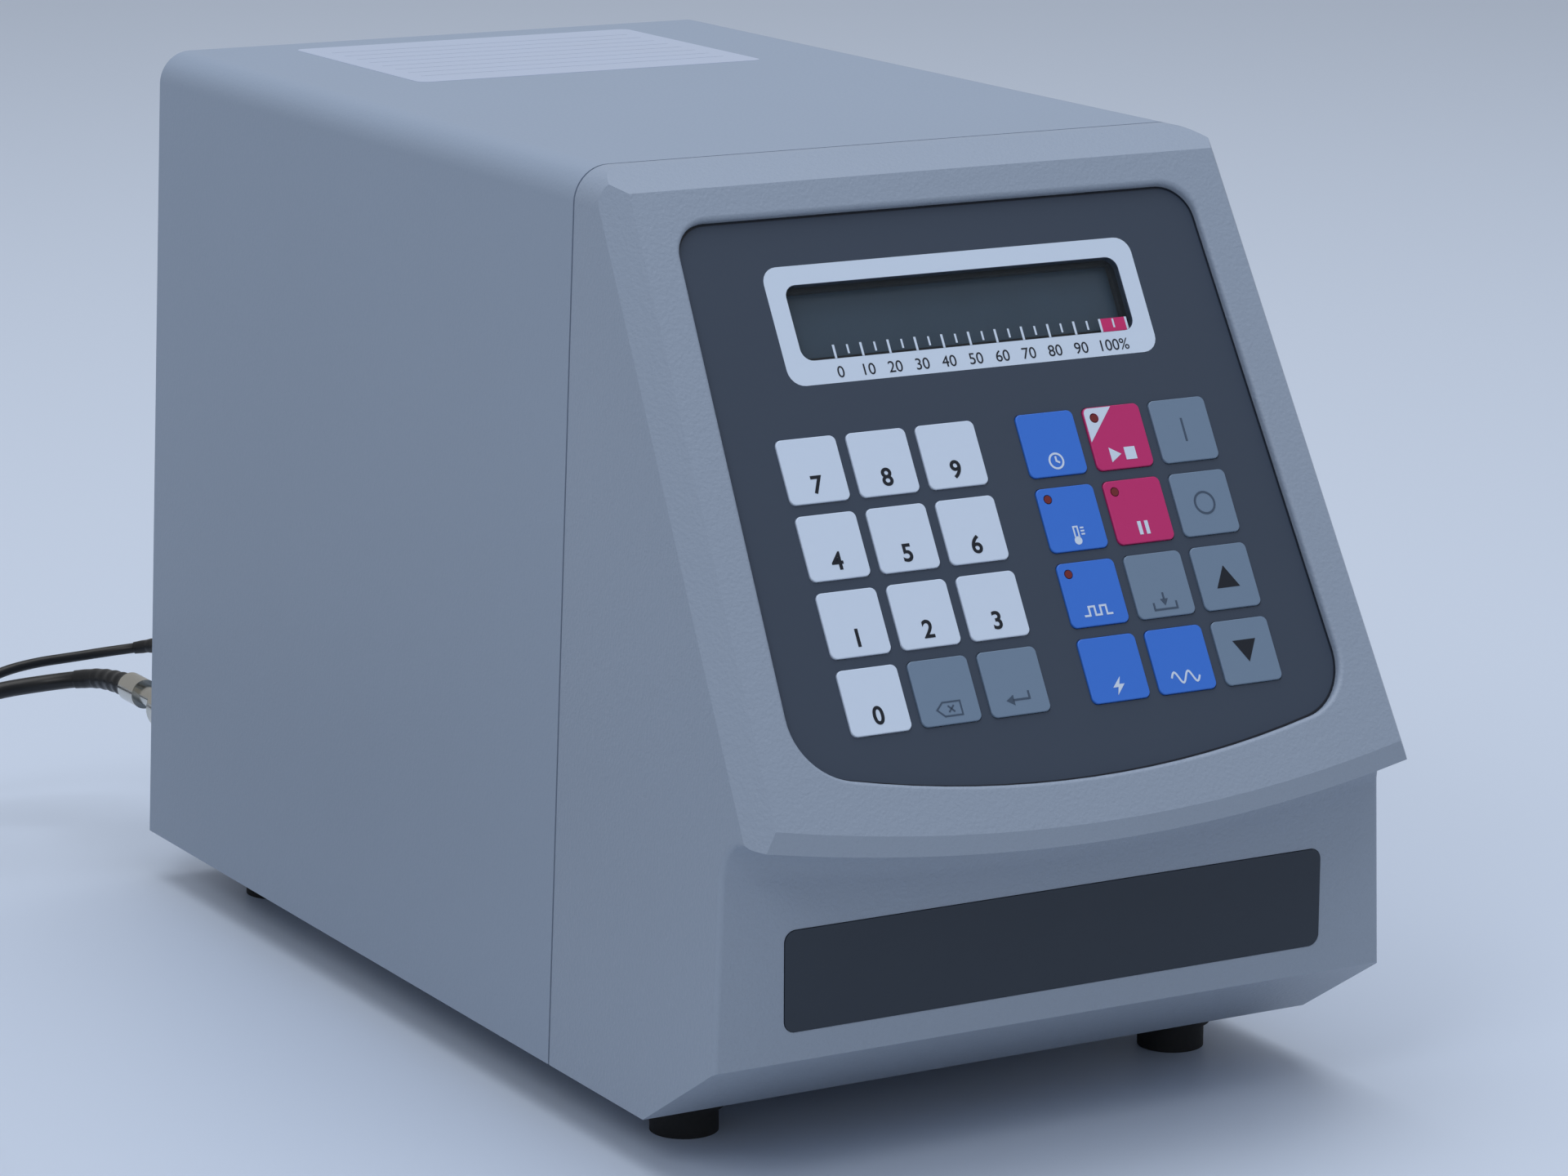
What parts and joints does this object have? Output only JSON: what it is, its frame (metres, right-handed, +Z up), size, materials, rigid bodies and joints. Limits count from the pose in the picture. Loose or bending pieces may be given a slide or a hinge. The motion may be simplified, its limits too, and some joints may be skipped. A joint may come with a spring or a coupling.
{
  "type": "probe sonicator",
  "caption": "bench-top ultrasonic generator with a sloped membrane keypad, display, cooling fan and rear sockets, with its cabled converter, stepped probe and temperature probe beside it",
  "frame": {"origin": "on the bench, under the middle of the generator case", "axes": "+Z up, -Y is the side of the keypad, +X to the right of someone who faces the keypad"},
  "size_m": [0.412, 0.4444, 0.234],
  "materials": {
    "cover_paint": "fine-textured enamel",
    "bezel_plastic": "fine-textured moulding",
    "zinc_steel": "zinc plated",
    "foot_rubber": "matt",
    "screw_steel": "plated",
    "keypad_foil": "satin printed foil",
    "circuit_board": "solder mask",
    "lamp_red": "tinted lens",
    "display_pane": "clear",
    "display_frame": "glass and frame",
    "name_plate": "satin",
    "black_plastic": "moulded",
    "nickel": "nickel plated",
    "guard_wire": "plated wire",
    "winding": "taped winding over a steel core, so dense",
    "fin_aluminium": "black anodised",
    "component_case": "sleeved and moulded",
    "brass_standoff": "turned",
    "cable_jacket": "satin",
    "lead_jacket": "satin",
    "converter_shell": "dark anodised",
    "driver_aluminium": "machined",
    "ceramic": "fired ceramic",
    "titanium": "turned",
    "key_white": "satin foil",
    "key_blue": "satin foil",
    "key_pink": "satin foil",
    "key_grey": "satin foil"
  },
  "bodies": {
    "generator": {"accessory_sockets": "nickel", "base_chassis": "zinc_steel", "board_components": "component_case", "board_standoffs": "brass_standoff", "case_screws": "screw_steel", "converter_cable": "cable_jacket", "converter_cable_coil": "cable_jacket", "converter_driver": "driver_aluminium", "converter_housing": "converter_shell", "converter_plug": "nickel", "converter_socket": "nickel", "display_module": "display_frame", "display_window": "display_pane", "fan_frame": "black_plastic", "fan_guard": "guard_wire", "front_bezel": "bezel_plastic", "fuse_holders": "black_plastic", "heat_sink": "fin_aluminium", "key_domes": "screw_steel", "keypad_board": "circuit_board", "keypad_overlay": "keypad_foil", "mains_inlet": "black_plastic", "name_plate": "name_plate", "piezo_stack": "ceramic", "power_board": "circuit_board", "power_transformer": "winding", "rear_panel": "cover_paint", "rubber_feet": "foot_rubber", "sonic_probe": "titanium", "status_lamps": "lamp_red", "temp_lead": "lead_jacket", "temp_lead_coil": "lead_jacket", "temp_plug": "nickel", "temp_probe": "titanium", "top_cover": "cover_paint"},
    "key_0": {"key_0": "key_white"},
    "key_1": {"key_1": "key_white"},
    "key_2": {"key_2": "key_white"},
    "key_3": {"key_3": "key_white"},
    "key_4": {"key_4": "key_white"},
    "key_5": {"key_5": "key_white"},
    "key_6": {"key_6": "key_white"},
    "key_7": {"key_7": "key_white"},
    "key_8": {"key_8": "key_white"},
    "key_9": {"key_9": "key_white"},
    "key_amplitude": {"key_amplitude": "key_blue"},
    "key_clear": {"key_clear": "key_grey"},
    "key_down": {"key_down": "key_grey"},
    "key_energy": {"key_energy": "key_blue"},
    "key_enter": {"key_enter": "key_grey"},
    "key_memory": {"key_memory": "key_grey"},
    "key_off": {"key_off": "key_grey"},
    "key_on": {"key_on": "key_grey"},
    "key_pause": {"key_pause": "key_pink"},
    "key_pulse": {"key_pulse": "key_blue"},
    "key_start": {"key_start": "key_pink"},
    "key_temperature": {"key_temperature": "key_blue"},
    "key_timer": {"key_timer": "key_blue"},
    "key_up": {"key_up": "key_grey"},
    "fan_rotor": {"fan_rotor": "black_plastic"}
  },
  "joints": [
    {"name": "key_0_press", "type": "slide", "parent": "generator", "child": "key_0", "axis": [0, 0.8616, -0.5075], "range_m": [0, 0.0004], "stiffness_N_per_m": 800, "springref_m": -0.0002},
    {"name": "key_1_press", "type": "slide", "parent": "generator", "child": "key_1", "axis": [0, 0.8616, -0.5075], "range_m": [0, 0.0004], "stiffness_N_per_m": 800, "springref_m": -0.0002},
    {"name": "key_2_press", "type": "slide", "parent": "generator", "child": "key_2", "axis": [0, 0.8616, -0.5075], "range_m": [0, 0.0004], "stiffness_N_per_m": 800, "springref_m": -0.0002},
    {"name": "key_3_press", "type": "slide", "parent": "generator", "child": "key_3", "axis": [0, 0.8616, -0.5075], "range_m": [0, 0.0004], "stiffness_N_per_m": 800, "springref_m": -0.0002},
    {"name": "key_4_press", "type": "slide", "parent": "generator", "child": "key_4", "axis": [0, 0.8616, -0.5075], "range_m": [0, 0.0004], "stiffness_N_per_m": 800, "springref_m": -0.0002},
    {"name": "key_5_press", "type": "slide", "parent": "generator", "child": "key_5", "axis": [0, 0.8616, -0.5075], "range_m": [0, 0.0004], "stiffness_N_per_m": 800, "springref_m": -0.0002},
    {"name": "key_6_press", "type": "slide", "parent": "generator", "child": "key_6", "axis": [0, 0.8616, -0.5075], "range_m": [0, 0.0004], "stiffness_N_per_m": 800, "springref_m": -0.0002},
    {"name": "key_7_press", "type": "slide", "parent": "generator", "child": "key_7", "axis": [0, 0.8616, -0.5075], "range_m": [0, 0.0004], "stiffness_N_per_m": 800, "springref_m": -0.0002},
    {"name": "key_8_press", "type": "slide", "parent": "generator", "child": "key_8", "axis": [0, 0.8616, -0.5075], "range_m": [0, 0.0004], "stiffness_N_per_m": 800, "springref_m": -0.0002},
    {"name": "key_9_press", "type": "slide", "parent": "generator", "child": "key_9", "axis": [0, 0.8616, -0.5075], "range_m": [0, 0.0004], "stiffness_N_per_m": 800, "springref_m": -0.0002},
    {"name": "key_amplitude_press", "type": "slide", "parent": "generator", "child": "key_amplitude", "axis": [0, 0.8616, -0.5075], "range_m": [0, 0.0004], "stiffness_N_per_m": 800, "springref_m": -0.0002},
    {"name": "key_clear_press", "type": "slide", "parent": "generator", "child": "key_clear", "axis": [0, 0.8616, -0.5075], "range_m": [0, 0.0004], "stiffness_N_per_m": 800, "springref_m": -0.0002},
    {"name": "key_down_press", "type": "slide", "parent": "generator", "child": "key_down", "axis": [0, 0.8616, -0.5075], "range_m": [0, 0.0004], "stiffness_N_per_m": 800, "springref_m": -0.0002},
    {"name": "key_energy_press", "type": "slide", "parent": "generator", "child": "key_energy", "axis": [0, 0.8616, -0.5075], "range_m": [0, 0.0004], "stiffness_N_per_m": 800, "springref_m": -0.0002},
    {"name": "key_enter_press", "type": "slide", "parent": "generator", "child": "key_enter", "axis": [0, 0.8616, -0.5075], "range_m": [0, 0.0004], "stiffness_N_per_m": 800, "springref_m": -0.0002},
    {"name": "key_memory_press", "type": "slide", "parent": "generator", "child": "key_memory", "axis": [0, 0.8616, -0.5075], "range_m": [0, 0.0004], "stiffness_N_per_m": 800, "springref_m": -0.0002},
    {"name": "key_off_press", "type": "slide", "parent": "generator", "child": "key_off", "axis": [0, 0.8616, -0.5075], "range_m": [0, 0.0004], "stiffness_N_per_m": 800, "springref_m": -0.0002},
    {"name": "key_on_press", "type": "slide", "parent": "generator", "child": "key_on", "axis": [0, 0.8616, -0.5075], "range_m": [0, 0.0004], "stiffness_N_per_m": 800, "springref_m": -0.0002},
    {"name": "key_pause_press", "type": "slide", "parent": "generator", "child": "key_pause", "axis": [0, 0.8616, -0.5075], "range_m": [0, 0.0004], "stiffness_N_per_m": 800, "springref_m": -0.0002},
    {"name": "key_pulse_press", "type": "slide", "parent": "generator", "child": "key_pulse", "axis": [0, 0.8616, -0.5075], "range_m": [0, 0.0004], "stiffness_N_per_m": 800, "springref_m": -0.0002},
    {"name": "key_start_press", "type": "slide", "parent": "generator", "child": "key_start", "axis": [0, 0.8616, -0.5075], "range_m": [0, 0.0004], "stiffness_N_per_m": 800, "springref_m": -0.0002},
    {"name": "key_temperature_press", "type": "slide", "parent": "generator", "child": "key_temperature", "axis": [0, 0.8616, -0.5075], "range_m": [0, 0.0004], "stiffness_N_per_m": 800, "springref_m": -0.0002},
    {"name": "key_timer_press", "type": "slide", "parent": "generator", "child": "key_timer", "axis": [0, 0.8616, -0.5075], "range_m": [0, 0.0004], "stiffness_N_per_m": 800, "springref_m": -0.0002},
    {"name": "key_up_press", "type": "slide", "parent": "generator", "child": "key_up", "axis": [0, 0.8616, -0.5075], "range_m": [0, 0.0004], "stiffness_N_per_m": 800, "springref_m": -0.0002},
    {"name": "fan_spin", "type": "hinge", "parent": "generator", "child": "fan_rotor", "pos_m": [0.028, 0.15805, 0.158], "axis": [0, 1, 0], "continuous": true}
  ]
}
